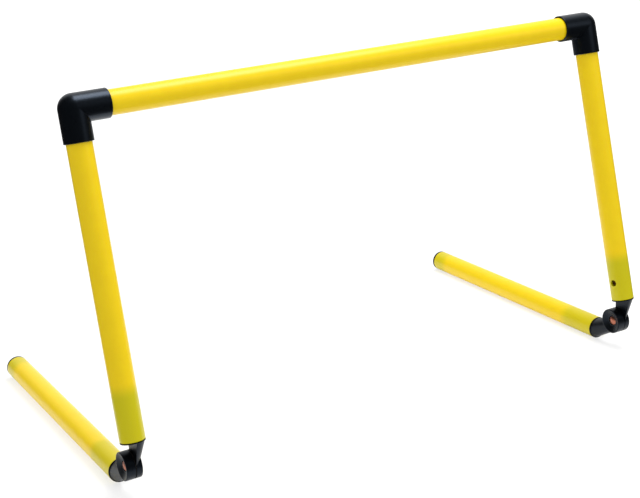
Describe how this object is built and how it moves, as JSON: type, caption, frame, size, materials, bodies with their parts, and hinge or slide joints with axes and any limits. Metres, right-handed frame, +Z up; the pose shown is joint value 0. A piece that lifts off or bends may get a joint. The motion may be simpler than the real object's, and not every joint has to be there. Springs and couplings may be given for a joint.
{
  "type": "speed hurdle",
  "caption": "Low agility hurdle of plastic tube: a crossbar on leaning uprights joined by slip elbows, with feet that fold up on riveted lap hinges.",
  "frame": {"origin": "on the floor under the middle of the hurdle's box", "axes": "+X along the crossbar, +Y from the hinges to the feet's far ends, +Z up"},
  "size_m": [0.5092, 0.3066, 0.3086],
  "materials": {
    "yellow_tube": "extruded, semi-gloss",
    "black_moulding": "moulded, satin",
    "copper": "bright, slightly worn",
    "dark_steel": "blackened, dull",
    "dark_fibre": "matt"
  },
  "bodies": {
    "frame": {"crossbar": "yellow_tube", "left_upright": "yellow_tube", "left_elbow": "black_moulding", "left_upper_knuckle": "black_moulding", "left_upright_screw": "dark_steel", "left_hinge_rivet": "copper", "left_rivet_burr": "copper", "left_friction_washer": "dark_fibre", "right_upright": "yellow_tube", "right_elbow": "black_moulding", "right_upper_knuckle": "black_moulding", "right_upright_screw": "dark_steel", "right_hinge_rivet": "copper", "right_rivet_burr": "copper", "right_friction_washer": "dark_fibre"},
    "left_foot": {"left_foot_tube": "yellow_tube", "left_lower_knuckle": "black_moulding", "left_foot_screw": "dark_steel", "left_foot_cap": "black_moulding"},
    "right_foot": {"right_foot_tube": "yellow_tube", "right_lower_knuckle": "black_moulding", "right_foot_screw": "dark_steel", "right_foot_cap": "black_moulding"}
  },
  "joints": [
    {"name": "left_foot_fold", "type": "hinge", "parent": "frame", "child": "left_foot", "pos_m": [-0.243, -0.13609, 0.0265], "axis": [1, 0, 0], "range_deg": [-102, 78]},
    {"name": "right_foot_fold", "type": "hinge", "parent": "frame", "child": "right_foot", "pos_m": [0.243, -0.13609, 0.0265], "axis": [1, 0, 0], "range_deg": [-102, 78]}
  ]
}
